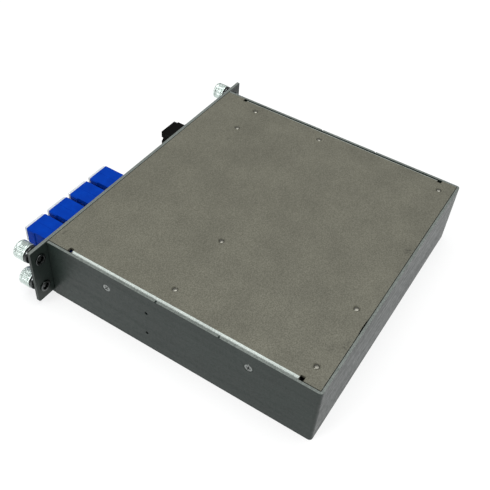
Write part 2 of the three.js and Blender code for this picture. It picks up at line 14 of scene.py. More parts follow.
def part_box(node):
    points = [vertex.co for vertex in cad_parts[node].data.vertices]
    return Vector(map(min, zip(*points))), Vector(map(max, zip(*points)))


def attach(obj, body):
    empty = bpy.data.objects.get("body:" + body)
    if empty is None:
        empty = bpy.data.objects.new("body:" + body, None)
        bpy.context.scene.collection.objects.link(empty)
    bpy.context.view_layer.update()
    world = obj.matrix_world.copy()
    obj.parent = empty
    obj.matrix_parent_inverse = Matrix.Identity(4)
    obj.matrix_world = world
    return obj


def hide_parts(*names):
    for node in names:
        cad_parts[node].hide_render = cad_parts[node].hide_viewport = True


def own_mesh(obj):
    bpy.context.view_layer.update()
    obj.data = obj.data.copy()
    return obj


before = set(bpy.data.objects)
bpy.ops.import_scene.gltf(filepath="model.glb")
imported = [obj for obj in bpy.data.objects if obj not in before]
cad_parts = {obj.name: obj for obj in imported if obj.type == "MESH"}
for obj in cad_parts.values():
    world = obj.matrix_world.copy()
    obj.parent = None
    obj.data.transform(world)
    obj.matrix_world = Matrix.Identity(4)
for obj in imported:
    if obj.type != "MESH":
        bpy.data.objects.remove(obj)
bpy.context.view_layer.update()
MM = 0.001
scene = bpy.context.scene
scene.view_settings.view_transform = "Standard"


def box_mm(node):
    """Lowest and highest corner of a CAD node, in millimetres."""
    low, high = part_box(node)
    return low / MM, high / MM


def middle(node):
    """The middle of a CAD node's box, in millimetres."""
    low, high = box_mm(node)
    return (low + high) / 2


TRAY_LOW, TRAY_HIGH = box_mm("base_tray")
COVER_LOW, COVER_HIGH = box_mm("top_cover")
PANEL_LOW, PANEL_HIGH = box_mm("front_panel")
PANEL_FRONT = PANEL_LOW.y
BODY_FRONT = PANEL_HIGH.y
HALF_WIDTH = TRAY_HIGH.x
SHEET = 1.2
GAP = 0.3

# ------------------------------------------------------------------ materials


def linear(red, green, blue):
    """An sRGB colour of 0 to 255 as the linear colour a shader takes."""
    def one(value):
        value /= 255
        return value / 12.92 if value <= 0.04045 else ((value + 0.055) / 1.055) ** 2.4
    return (one(red), one(green), one(blue), 1)


class Nodes:
    """A node material round one Principled shader, fed from object coordinates in metres."""

    def __init__(self, name, **sockets):
        self.material = bpy.data.materials.new(name)
        self.material.use_nodes = True
        self.tree = self.material.node_tree
        self.shader = self.tree.nodes["Principled BSDF"]
        for socket, value in sockets.items():
            self.shader.inputs[socket.replace("_", " ")].default_value = value
        self.place = self.add("ShaderNodeTexCoord").outputs["Object"]

    def add(self, kind, **values):
        node = self.tree.nodes.new(kind)
        for key, value in values.items():
            setattr(node, key, value)
        return node

    def link(self, source, target):
        self.tree.links.new(source, target)

    def mapped(self, scale):
        node = self.add("ShaderNodeMapping")
        node.inputs["Scale"].default_value = scale
        self.link(self.place, node.inputs["Vector"])
        return node.outputs["Vector"]

    def noise(self, size, detail=2.0, stretch=(1, 1, 1), roughness=0.5):
        """Noise whose grain is about size millimetres, longer along the axes with a small stretch."""
        node = self.add("ShaderNodeTexNoise")
        scale = 1 / (size * MM)
        node.inputs["Scale"].default_value = 1
        node.inputs["Detail"].default_value = detail
        node.inputs["Roughness"].default_value = roughness
        self.link(self.mapped(tuple(scale * s for s in stretch)), node.inputs["Vector"])
        return node.outputs["Fac"]

    def spread(self, source, low, high, from_low=0.3, from_high=0.7):
        node = self.add("ShaderNodeMapRange")
        ends = (("From Min", from_low), ("From Max", from_high), ("To Min", low), ("To Max", high))
        for key, value in ends:
            node.inputs[key].default_value = value
        self.link(source, node.inputs["Value"])
        return node.outputs["Result"]

    def blend(self, factor, first, second):
        """First colour where the factor is 0, second where it is 1. Either may be another output."""
        node = self.add("ShaderNodeMix", data_type="RGBA")
        self.link(factor, node.inputs["Factor"])
        for value, socket in ((first, node.inputs[6]), (second, node.inputs[7])):
            if isinstance(value, tuple):
                socket.default_value = value
            else:
                self.link(value, socket)
        return node.outputs[2]

    def math(self, operation, first, second):
        node = self.add("ShaderNodeMath", operation=operation)
        for value, socket in ((first, node.inputs[0]), (second, node.inputs[1])):
            if isinstance(value, (int, float)):
                socket.default_value = value
            else:
                self.link(value, socket)
        return node.outputs[0]

    def bump(self, height, depth, strength=1.0, under=None):
        """Bump of some depth in millimetres."""
        node = self.add("ShaderNodeBump")
        node.inputs["Strength"].default_value = strength
        node.inputs["Distance"].default_value = depth * MM
        self.link(height, node.inputs["Height"])
        if under is not None:
            self.link(under, node.inputs["Normal"])
        return node.outputs["Normal"]

    def feed(self, **outputs):
        for socket, output in outputs.items():
            self.link(output, self.shader.inputs[socket.replace("_", " ")])
        return self.material


def soft_blotch(nodes, centre, size):
    """1 inside a soft blotch at a place in millimetres, 0 outside it."""
    offset = nodes.add("ShaderNodeVectorMath", operation="SUBTRACT")
    nodes.link(nodes.place, offset.inputs[0])
    offset.inputs[1].default_value = [c * MM for c in centre]
    scaled = nodes.add("ShaderNodeVectorMath", operation="DIVIDE")
    nodes.link(offset.outputs[0], scaled.inputs[0])
    scaled.inputs[1].default_value = [s * MM for s in size]
    length = nodes.add("ShaderNodeVectorMath", operation="LENGTH")
    nodes.link(scaled.outputs[0], length.inputs[0])
    return nodes.spread(length.outputs["Value"], 1, 0, 0.2, 1)


# Small rubbed places on the cover: centre, half size, and how strongly they darken it.
SCUFFS = [
    ((-16, 66.5, 34.5), (3.2, 2.2, 2), 0.55),
    ((48.4, 66.6, 34.5), (4.6, 1.8, 2), 0.5),
    ((53, 62.6, 34.5), (3.5, 1.4, 2), 0.25),
    ((-36.5, -46.1, 34.5), (2.2, 1.6, 2), 0.3),
    ((65.4, -67.2, 34.5), (3.4, 1.2, 2), 0.4),
]

# Painted reflection streaks along the rear wall, pale blotches laid into the colour: centre, half size, and how
# strongly they lighten it.
REAR_WALL_PAINTED_REFLECTIONS = [
    ((58, 70, 3), (8, 3, 0.8), 0.22),
    ((43, 70, 6.4), (9, 3, 0.8), 0.26),
    ((29, 70, 9.6), (10, 3, 0.9), 0.24),
    ((10, 70, 10.8), (12, 3, 0.8), 0.22),
    ((-10, 70, 12), (11, 3, 0.8), 0.26),
    ((-27, 70, 17.5), (10, 3, 1.2), 0.22),
    ((-45, 70, 25), (12, 3, 1.2), 0.2),
]


def powder_coat(name, dark, light, grain, depth, rough, scuffs=(), painted_reflections=(), streaks=False):
    """Fine-textured powder coat: speckled colour, orange-peel bump and uneven gloss, with any painted reflection
    streaks laid into the colour.
    """
    n = Nodes(name, IOR=1.45, Metallic=0.0, Specular_IOR_Level=0.3)
    speck = n.noise(grain, 3)
    cloud = n.noise(14, 3)
    colour = n.blend(n.spread(speck, 0, 1, 0.32, 0.68), dark, light)
    shade = n.spread(cloud, 0.9, 1.08)
    for centre, size, strength in scuffs:
        spot = soft_blotch(n, centre, size)
        mark = n.math("MULTIPLY", spot, n.spread(n.noise(0.9, 4), 0, strength, 0.4, 0.6))
        shade = n.math("MULTIPLY", shade, n.math("SUBTRACT", 1.0, mark))
    # Painted reflection: inside each streak the colour is blended towards pale grey.
    for centre, size, strength in painted_reflections:
        spot = soft_blotch(n, centre, size)
        mark = n.math("MULTIPLY", spot, n.spread(n.noise(1.4, 3, (0.3, 1, 1)), 0, strength))
        colour = n.blend(mark, colour, linear(214, 216, 212))
    toned = n.add("ShaderNodeVectorMath", operation="SCALE")
    n.link(colour, toned.inputs[0])
    n.link(shade, toned.inputs["Scale"])
    gloss = n.spread(n.noise(grain * 2.2, 3), rough - 0.06, rough + 0.06)
    if streaks:
        rubbed = n.spread(n.noise(2.4, 3, (0.035, 0.035, 1)), -0.05, 0.03, 0.38, 0.62)
        gloss = n.math("ADD", gloss, rubbed)
    peel = n.bump(n.noise(grain * 1.6, 2), depth)
    fine = n.bump(speck, depth * 0.5, under=peel)
    return n.feed(Base_Color=toned.outputs[0], Roughness=gloss, Normal=fine)


def metal(name, colour, rough, grain=0.25, stretch=(1, 1, 1), wear=0.12):
    """Plated or bare metal with fine tool marks and slightly clouded gloss."""
    n = Nodes(name, Metallic=1.0)
    dull = tuple(c * (1 - wear) for c in colour[:3]) + (1,)
    marks = n.noise(grain, 3, stretch)
    cloud = n.noise(3.5, 2)
    tone = n.blend(n.spread(cloud, 0, 1), colour, dull)
    gloss = n.spread(n.noise(1.2, 3), rough - 0.05, rough + 0.08)
    return n.feed(Base_Color=tone, Roughness=gloss, Normal=n.bump(marks, 0.012))


def moulded(name, colour, deep, rough, grain=0.5, depth=0.01, **sockets):
    """Injection-moulded plastic: fine spark-eroded grain, slow colour drift, soft sheen."""
    n = Nodes(name, IOR=1.5, **sockets)
    drift = n.noise(5, 3)
    grainy = n.noise(grain, 2)
    tone = n.blend(n.spread(drift, 0, 1), colour, deep)
    gloss = n.spread(n.noise(2.0, 2), rough - 0.05, rough + 0.07)
    return n.feed(Base_Color=tone, Roughness=gloss, Normal=n.bump(grainy, depth))


MATERIALS = {
    "dark_paint": powder_coat(
        "dark_paint", linear(27, 37, 33), linear(39, 49, 45), 0.7, 0.01, 0.41, painted_reflections=REAR_WALL_PAINTED_REFLECTIONS, streaks=True),
    "cover_paint": powder_coat(
        "cover_paint", linear(85, 84, 73), linear(111, 110, 98), 0.55, 0.06, 0.46, scuffs=SCUFFS),
    # Painted highlight: a lighter paint for the upward-facing edge faces of the tray walls and the panel top.
    "painted_top_highlight": powder_coat(
        "painted_top_highlight", linear(88, 94, 90), linear(122, 128, 124), 0.5, 0.02, 0.4),
    # Painted highlight: a pale paint for the cover's side bends and rear edge bevel.
    "bend_painted_highlight": powder_coat(
        "bend_painted_highlight", linear(172, 182, 176), linear(206, 214, 209), 0.6, 0.01, 0.3),
    "black_steel": metal("black_steel", linear(150, 154, 152), 0.28, wear=0.4),
    # Dark satin steel for the thumbscrew skirts. The ferrule faces behind the ear also take it, as painted shade.
    "black_steel_satin": metal("black_steel_satin", linear(92, 95, 95), 0.22, stretch=(1, 0.2, 1), wear=0.3),
    "nickel": metal("nickel", linear(198, 200, 196), 0.2, stretch=(1, 0.3, 1)),
    "spring_steel": metal("spring_steel", linear(190, 192, 190), 0.25),
    "knob_steel": metal("knob_steel", linear(212, 224, 219), 0.36, stretch=(1, 0.25, 1)),
    "blue_plastic": moulded(
        "blue_plastic", linear(0, 56, 160), linear(0, 48, 146), 0.55, Specular_IOR_Level=0.04),
    "plug_plastic": moulded("plug_plastic", linear(28, 98, 196), linear(24, 86, 178), 0.4),
    "clear_cap": moulded(
        "clear_cap", linear(232, 236, 238), linear(220, 226, 230), 0.38, Transmission_Weight=0.35),
    "black_plastic": moulded(
        "black_plastic", linear(8, 8, 7), linear(5, 5, 4), 0.5, Specular_IOR_Level=0.06),
    "black_rubber": moulded(
        "black_rubber", linear(9, 9, 8), linear(6, 6, 5), 0.62, depth=0.02, Specular_IOR_Level=0.06),
    "yellow_jacket": moulded("yellow_jacket", linear(238, 208, 62), linear(226, 192, 48), 0.48),
    "deck_plastic": moulded("deck_plastic", linear(214, 216, 212), linear(204, 206, 202), 0.52),
    "stud_metal": metal("stud_metal", linear(140, 139, 130), 0.32, wear=0.4),
}

# ------------------------------------------------------------------ mesh helpers


def to_object(name, bm):
    """Turns a bmesh into an object of the scene and frees it."""
    bmesh.ops.recalc_face_normals(bm, faces=bm.faces)
    mesh = bpy.data.meshes.new(name)
    bm.to_mesh(mesh)
    bm.free()
    obj = bpy.data.objects.new(name, mesh)
    scene.collection.objects.link(obj)
    return obj


def bake(obj):
    """The object's modifiers become its mesh."""
    bpy.context.view_layer.update()
    mesh = bpy.data.meshes.new_from_object(obj.evaluated_get(bpy.context.evaluated_depsgraph_get()))
    obj.modifiers.clear()
    old, obj.data = obj.data, mesh
    bpy.data.meshes.remove(old)
    return obj


def fillet(points, radius, steps=4):
    """A closed outline with its corners rounded. A point may carry its own radius as a third value."""
    out = []
    count = len(points)
    for i in range(count):
        before, here, after = (Vector(points[(i + k) % count][:2]) for k in (-1, 0, 1))
        r = points[i][2] if len(points[i]) > 2 else radius
        a, b = before - here, after - here
        turn = a.angle(b)
        if r <= 0 or turn > math.radians(178):
            out.append(tuple(here))
            continue
        back = min(r / math.tan(turn / 2), a.length * 0.45, b.length * 0.45)
        r = back * math.tan(turn / 2)
        centre = here + (a.normalized() + b.normalized()).normalized() * (r / math.sin(turn / 2))
        start = here + a.normalized() * back - centre
        end = here + b.normalized() * back - centre
        for k in range(steps + 1):
            arm = start.lerp(end, k / steps)
            out.append(tuple(centre + arm.normalized() * r))
    return out


def prism(name, outline, low, high, axis="z"):
    """An outline raised along an axis. It lies in (x, y) for z, (x, z) for y and (y, z) for x."""
    place = {
        "z": lambda a, b, t: (a, b, t),
        "y": lambda a, b, t: (a, t, b),
        "x": lambda a, b, t: (t, a, b),
    }[axis]
    bm = bmesh.new()
    bottom = [bm.verts.new(place(a, b, low)) for a, b in outline]
    top = [bm.verts.new(place(a, b, high)) for a, b in outline]
    bm.faces.new(bottom)
    bm.faces.new(top)
    for i in range(len(outline)):
        j = (i + 1) % len(outline)
        bm.faces.new((bottom[i], bottom[j], top[j], top[i]))
    return to_object(name, bm)


def slab(name, low, high):
    """A block between two corners."""
    outline = [(low[0], low[1]), (high[0], low[1]), (high[0], high[1]), (low[0], high[1])]
    return prism(name, outline, low[2], high[2])


def lathe(name, profile, axis="y", centre=(0, 0, 0), sides=48, radius_at=None):
    """A closed profile of (radius, place along the axis) turned round the axis.
    radius_at(radius, place, angle) may carve the surface, as a knurl does."""
    place = {
        "x": lambda a, b, t: (t, a, b),
        "y": lambda a, b, t: (a, t, b),
        "z": lambda a, b, t: (a, b, t),
    }[axis]
    bm = bmesh.new()
    rings = []
    for radius, along in profile:
        if radius < 1e-6:
            rings.append([bm.verts.new(Vector(place(0, 0, along)) + Vector(centre))])
            continue
        ring = []
        for k in range(sides):
            angle = 2 * math.pi * k / sides
            r = radius_at(radius, along, angle) if radius_at else radius
            point = Vector(place(r * math.cos(angle), r * math.sin(angle), along))
            ring.append(bm.verts.new(point + Vector(centre)))
        rings.append(ring)
    for i in range(len(rings)):
        one, two = rings[i], rings[(i + 1) % len(rings)]
        if len(one) == 1 and len(two) == 1:
            continue
        for k in range(sides):
            m = (k + 1) % sides
            if len(one) == 1:
                bm.faces.new((one[0], two[k], two[m]))
            elif len(two) == 1:
                bm.faces.new((one[k], one[m], two[0]))
            else:
                bm.faces.new((one[k], one[m], two[m], two[k]))
    return to_object(name, bm)


def rod(name, axis, centre, radius, low, high, sides=40, end_radius=None):
    """A round bar along an axis, or a cone where end_radius is given."""
    end_radius = radius if end_radius is None else end_radius
    return lathe(name, [(0, low), (radius, low), (end_radius, high), (0, high)], axis, centre, sides)


def combine(obj, operation, tools):
    """Applies the tools to the object as exact booleans and removes them."""
    for tool in tools:
        step = obj.modifiers.new("solid", "BOOLEAN")
        step.object, step.operation, step.solver = tool, operation, "EXACT"
    bake(obj)
    for tool in tools:
        mesh = tool.data
        bpy.data.objects.remove(tool)
        bpy.data.meshes.remove(mesh)
    return obj


def cad_copy(name, node):
    """A CAD node's shape in millimetres, with its flat faces whole again."""
    bm = bmesh.new()
    bm.from_mesh(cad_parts[node].data)
    bmesh.ops.scale(bm, vec=(1 / MM,) * 3, verts=bm.verts)
    bmesh.ops.remove_doubles(bm, verts=bm.verts, dist=1e-3)
    bmesh.ops.dissolve_limit(bm, angle_limit=math.radians(0.6), verts=bm.verts, edges=bm.edges)
    return to_object(name, bm)


def flatten(obj):
    """Joins the coplanar faces that booleans leave."""
    bm = bmesh.new()
    bm.from_mesh(obj.data)
    bmesh.ops.remove_doubles(bm, verts=bm.verts, dist=1e-4)
    bmesh.ops.dissolve_limit(bm, angle_limit=math.radians(0.5), verts=bm.verts, edges=bm.edges)
    bm.to_mesh(obj.data)
    bm.free()
    return obj


def round_edges(obj, width, segments=2, angle=32):
    """Bevels the edges that turn by more than the angle, in degrees."""
    step = obj.modifiers.new("round", "BEVEL")
    step.width, step.segments = width, segments
    step.limit_method, step.angle_limit = "ANGLE", math.radians(angle)
    step.miter_outer = "MITER_ARC"
    return bake(obj)


def finish_piece(obj, body, slot, replaces=(), smooth=38, extra=None, weighted=True):
    """Scales a piece to metres, shades it, and gives it its material, body and slot.
    extra is (material name, test of a face's centre and normal in millimetres)."""
    mesh = obj.data
    mesh.materials.clear()
    mesh.materials.append(MATERIALS[slot])
    if extra:
        mesh.materials.append(MATERIALS[extra[0]])
        for face in mesh.polygons:
            face.material_index = 1 if extra[1](face.center, face.normal) else 0
    mesh.transform(Matrix.Scale(MM, 4))
    mesh.polygons.foreach_set("use_smooth", [True] * len(mesh.polygons))
    mesh.set_sharp_from_angle(angle=math.radians(smooth))
    if weighted:
        step = obj.modifiers.new("normals", "WEIGHTED_NORMAL")
        step.keep_sharp, step.weight = True, 60
        bake(obj)
    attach(obj, body)
    if replaces:
        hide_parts(*replaces)
    return obj


def placed(obj, x, y, z):
    """Moves the object's mesh and returns the object."""
    obj.data.transform(Matrix.Translation((x, y, z)))
    return obj


# ------------------------------------------------------------------ case

SCREWS = [f"cover_screw_{i}" for i in range(1, 5)]
# The spare screw holes in the side walls.
SPARE_Y = -14.6
SPARE_Z = (9.8, 23.4)
SPARE_RADIUS = 0.8
SCREW_HEAD = 1.95
SCREW_SHANK = 1.0
# Where the saw-cut marks cross the wall tops.
TICK_Y = (-9.5, 22.3)
# The studs pressed into the cover, in (x, y).
STUD_RADIUS = 1.25
STUDS = [
    (28.5, -7), (64.3, -7), (28.5, 61.8), (64.3, 61.8),
    (-66, -7), (-66, 61.8), (-48.2, -47.8), (-67, -47.8),
]


def make_tray():
    top, rear = TRAY_HIGH.z, TRAY_HIGH.y
    front = TRAY_LOW.y

    def outline(inset, forward=0.0):
        half, back = HALF_WIDTH - inset, rear - inset
        radius = max(1.6 - inset, 0.4)
        return fillet([
            (-half, front - forward, 0), (half, front - forward, 0),
            (half, back, radius), (-half, back, radius)], 0, 10)

    tray = prism("tray_shell", outline(0), 0, top)
    hollow = prism("hollow", outline(SHEET, 2), SHEET, top + 2)
    tray = combine(tray, "DIFFERENCE", [hollow])
    lip_half = HALF_WIDTH - SHEET - 0.02
    lip = slab("lip", (-lip_half, front, SHEET / 2), (lip_half, front + SHEET, SHEET + 3))
    tray = combine(tray, "UNION", [lip])
    cutters = []
    for z in SPARE_Z:
        cutters.append(rod("hole", "x", (0, SPARE_Y, z), SPARE_RADIUS, -HALF_WIDTH - 2, HALF_WIDTH + 2))
    for node in SCREWS:
        at = middle(node)
        side = 1 if at.x > 0 else -1
        cutters.append(rod(
            "sink", "x", (0, at.y, at.z), SCREW_SHANK + GAP, side * (HALF_WIDTH - SHEET - 0.01),
            side * (HALF_WIDTH + 0.01), end_radius=SCREW_HEAD + GAP * 0.6))
    tray = combine(tray, "DIFFERENCE", cutters)
    # Short saw-cut marks where the cover's tabs meet the wall tops.
    ticks = []
    for side in (1, -1):
        for y in TICK_Y:
            xs = sorted((side * (HALF_WIDTH - SHEET - 1), side * (HALF_WIDTH + 1)))
            ticks.append(slab("tick", (xs[0], y - 0.45, top - 0.5), (xs[1], y + 0.45, top + 1)))
    tray = flatten(combine(tray, "DIFFERENCE", ticks))
    round_edges(tray, 0.16)
    # The upward-facing wall tops take the lighter paint as a painted highlight.
    finish_piece(
        tray, "chassis", "dark_paint", ["base_tray"],
        extra=("painted_top_highlight", lambda c, n: n.z > 0.5 and c.z > top - 0.25))


def make_cover():
    top, half = COVER_HIGH.z, COVER_HIGH.x
    low, front, rear = COVER_LOW.z, COVER_LOW.y, COVER_HIGH.y
    flange_front, flange_rear = -56.6, 58.6
    notch = 2.2
    bend = SHEET * 1.3
    inner = half - SHEET
    section = fillet([
        (-half, low, 0), (-inner, low, 0), (-inner, top - SHEET, bend - SHEET),
        (inner, top - SHEET, bend - SHEET), (inner, low, 0), (half, low, 0), (half, top, bend), (-half, top, bend),
    ], 0, 10)
    cover = prism("cover_plate", section, flange_front, flange_rear, "y")
    # The flat runs out past the flanges. Its rear edge dips slightly near the +X end.
    dent = 0.3
    flats = [
        prism("flat", [
            (-half, front), (half, front), (half, flange_front + 0.05),
            (-half, flange_front + 0.05)], top - SHEET, top),
        prism("flat", [
            (-half, flange_rear - 0.05), (half, flange_rear - 0.05), (half, rear), (41.0, rear),
            (38.6, rear - dent), (33.4, rear - dent), (30.2, rear), (-half, rear)], top - SHEET, top),
    ]
    cover = combine(cover, "UNION", flats)
    cutters = []
    for side in (1, -1):
        for y in (flange_front - notch, flange_rear):
            xs = sorted((side * (half - notch), side * (half + 1)))
            relief = fillet([
                (xs[0], y), (xs[1], y), (xs[1], y + notch), (xs[0], y + notch)], 0.35, 3)
            cutters.append(prism("notch", relief, top - SHEET - 0.9, top + 1))
        for node in SCREWS:
            at = middle(node)
            if at.x * side > 0:
                cutters.append(rod("hole", "x", (0, at.y, at.z), SCREW_SHANK + GAP,
                                   side * (half - 4), side * (half + 2)))
    cover = combine(cover, "DIFFERENCE", cutters)
    pits = []
    for x, y in STUDS:
        pits.append(lathe("pit", [(0, top - 0.5), (1.3, top - 0.5), (1.62, top - 0.06), (1.75, top + 0.04),
                                  (0, top + 0.04)], "z", (x, y, 0), 40))
    cover = flatten(combine(cover, "DIFFERENCE", pits))
    round_edges(cover, 0.24)
    # The side bends and the rear edge bevel take the pale paint as a painted highlight.
    finish_piece(
        cover, "chassis", "cover_paint", ["top_cover"],
        extra=("bend_painted_highlight", lambda c, n: (
            (abs(n.x) > 0.24 and n.z > 0.1 and abs(c.x) > half - bend - 0.1 and c.z > top - bend - 0.05)
            or (c.y > rear - dent - 0.3 and n.y > 0.25 and n.z > 0.1))))
    rng = random.Random(4)
    for i, (x, y) in enumerate(STUDS, 1):
        sunk = 0.16 + 0.08 * rng.random()
        head = lathe(f"stud_head_{i}", [
            (0, top - 0.49), (STUD_RADIUS, top - 0.49), (STUD_RADIUS, top - sunk - 0.22),
            (1.12, top - sunk - 0.08), (0.85, top - sunk + 0.02), (0.5, top - sunk + 0.07),
            (0.2, top - sunk + 0.09), (0, top - sunk + 0.09)], "z", (x, y, 0), 40)
        finish_piece(head, "chassis", "cover_paint", weighted=False)
        head.data.materials[0] = MATERIALS["stud_metal"]
        stem = rod(f"stud_{i}", "z", (x, y, 0), STUD_RADIUS, top - SHEET - 5.95, top - SHEET - 0.02, 32)
        round_edges(stem, 0.2)
        finish_piece(stem, "chassis", "cover_paint")
        stem.data.materials[0] = MATERIALS["stud_metal"]


# Adapter base name, count, and half width and half height of the cut-out round its neck.
CUTOUTS = (("duplex_adapter", 8, 5.8, 4.5), ("multifibre_adapter", 2, 6.5, 5.5))
FERRULE_HOLE = 2.7


def make_panel():
    top, half = PANEL_HIGH.z, PANEL_HIGH.x
    ear_bottom, corner = 2.6, 1.1
    outline = fillet([
        (-half, top, 0.3), (-half, ear_bottom, corner), (-HALF_WIDTH, ear_bottom, 0.3), (-HALF_WIDTH, 0, 0.3),
        (HALF_WIDTH, 0, 0.3), (HALF_WIDTH, ear_bottom, 0.3),
        (half, ear_bottom, corner), (half, top, 0.3)], 0, 5)
    panel = prism("panel_plate", outline, PANEL_FRONT, BODY_FRONT, "y")
    cutters = []
    for base, count, wide, tall in CUTOUTS:
        for i in range(1, count + 1):
            at = middle(f"{base}_{i}")
            cutters.append(prism("cutout", fillet([
                (at.x - wide, at.z - tall), (at.x + wide, at.z - tall), (at.x + wide, at.z + tall),
                (at.x - wide, at.z + tall)], 0.4, 3), PANEL_FRONT - 1, BODY_FRONT + 1, "y"))
    for i in range(1, 5):
        at = middle(f"thumbscrew_ferrule_{i}")
        cutters.append(rod("hole", "y", (at.x, 0, at.z), FERRULE_HOLE, PANEL_FRONT - 1, BODY_FRONT + 1))
    panel = flatten(combine(panel, "DIFFERENCE", cutters))
    round_edges(panel, 0.22)
    # The panel's top face takes the lighter paint as a painted highlight.
    finish_piece(
        panel, "chassis", "dark_paint", ["front_panel"],
        extra=("painted_top_highlight", lambda c, n: n.z > 0.2 and c.z > top - 0.3))


def make_screws():
    for i, node in enumerate(SCREWS, 1):
        low, high = box_mm(node)
        at = middle(node)
        side = 1 if at.x > 0 else -1
        face = HALF_WIDTH - 0.1
        shank_end = low.x if side > 0 else -high.x
        head = lathe(f"side_screw_{i}", [
            (0, shank_end), (SCREW_SHANK - 0.15, shank_end), (SCREW_SHANK, shank_end + 0.2),
            (SCREW_SHANK, HALF_WIDTH - SHEET - 0.05), (SCREW_HEAD - 0.03, face - 0.12),
            (SCREW_HEAD - 0.05, face - 0.03), (SCREW_HEAD - 0.15, face), (0, face)], "x", (0, 0, 0), 48)
        # Half length and half width of the cross recess.
        arm, width = 1.15, 0.22
        cross = fillet([
            (-arm, -width), (-width, -width), (-width, -arm), (width, -arm), (width, -width), (arm, -width),
            (arm, width), (width, width), (width, arm), (-width, arm), (-width, width),
            (-arm, width)], 0.06, 2)
        head = combine(head, "DIFFERENCE", [prism("cross", cross, face - 0.75, face + 0.5, "x")])
        head.data.transform(Matrix.Rotation(math.radians(18 + 31 * i), 4, "X"))
        if side < 0:
            head.data.transform(Matrix.Rotation(math.pi, 4, "Z"))
        placed(head, 0, at.y, at.z)
        round_edges(head, 0.05, 1, 40)
        finish_piece(head, "chassis", "black_steel", [node])


# ------------------------------------------------------------------ thumbscrews


def knurl(teeth, depth):
    """A radius_at for lathe: V-shaped grooves along the axis, as deep as depth(radius, place)."""
    def radius_at(radius, along, angle):
        wave = abs(((angle * teeth / (2 * math.pi)) % 1) * 2 - 1)
        return radius - depth(radius, along) * wave
    return radius_at


# Places along a thumbscrew, from the panel's front face, and its radii.
FLANGE_FRONT, MOUTH, CUP_FLOOR = -1.1, -2.1, -0.9
SKIRT_REAR, SKIRT_FRONT, SHOULDER, HUB_FRONT = -2.9, -4.1, -8.8, -10.3
SKIRT_OUTER, SKIRT_INNER, HUB_OUTER, HUB_INNER, SHAFT = 4.3, 3.5, 3.2, 2.8, 1.5
FERRULE_FLANGE, FERRULE_BARREL, FERRULE_CUP, FERRULE_BORE = 4.2, 3.2, 2.7, 1.9


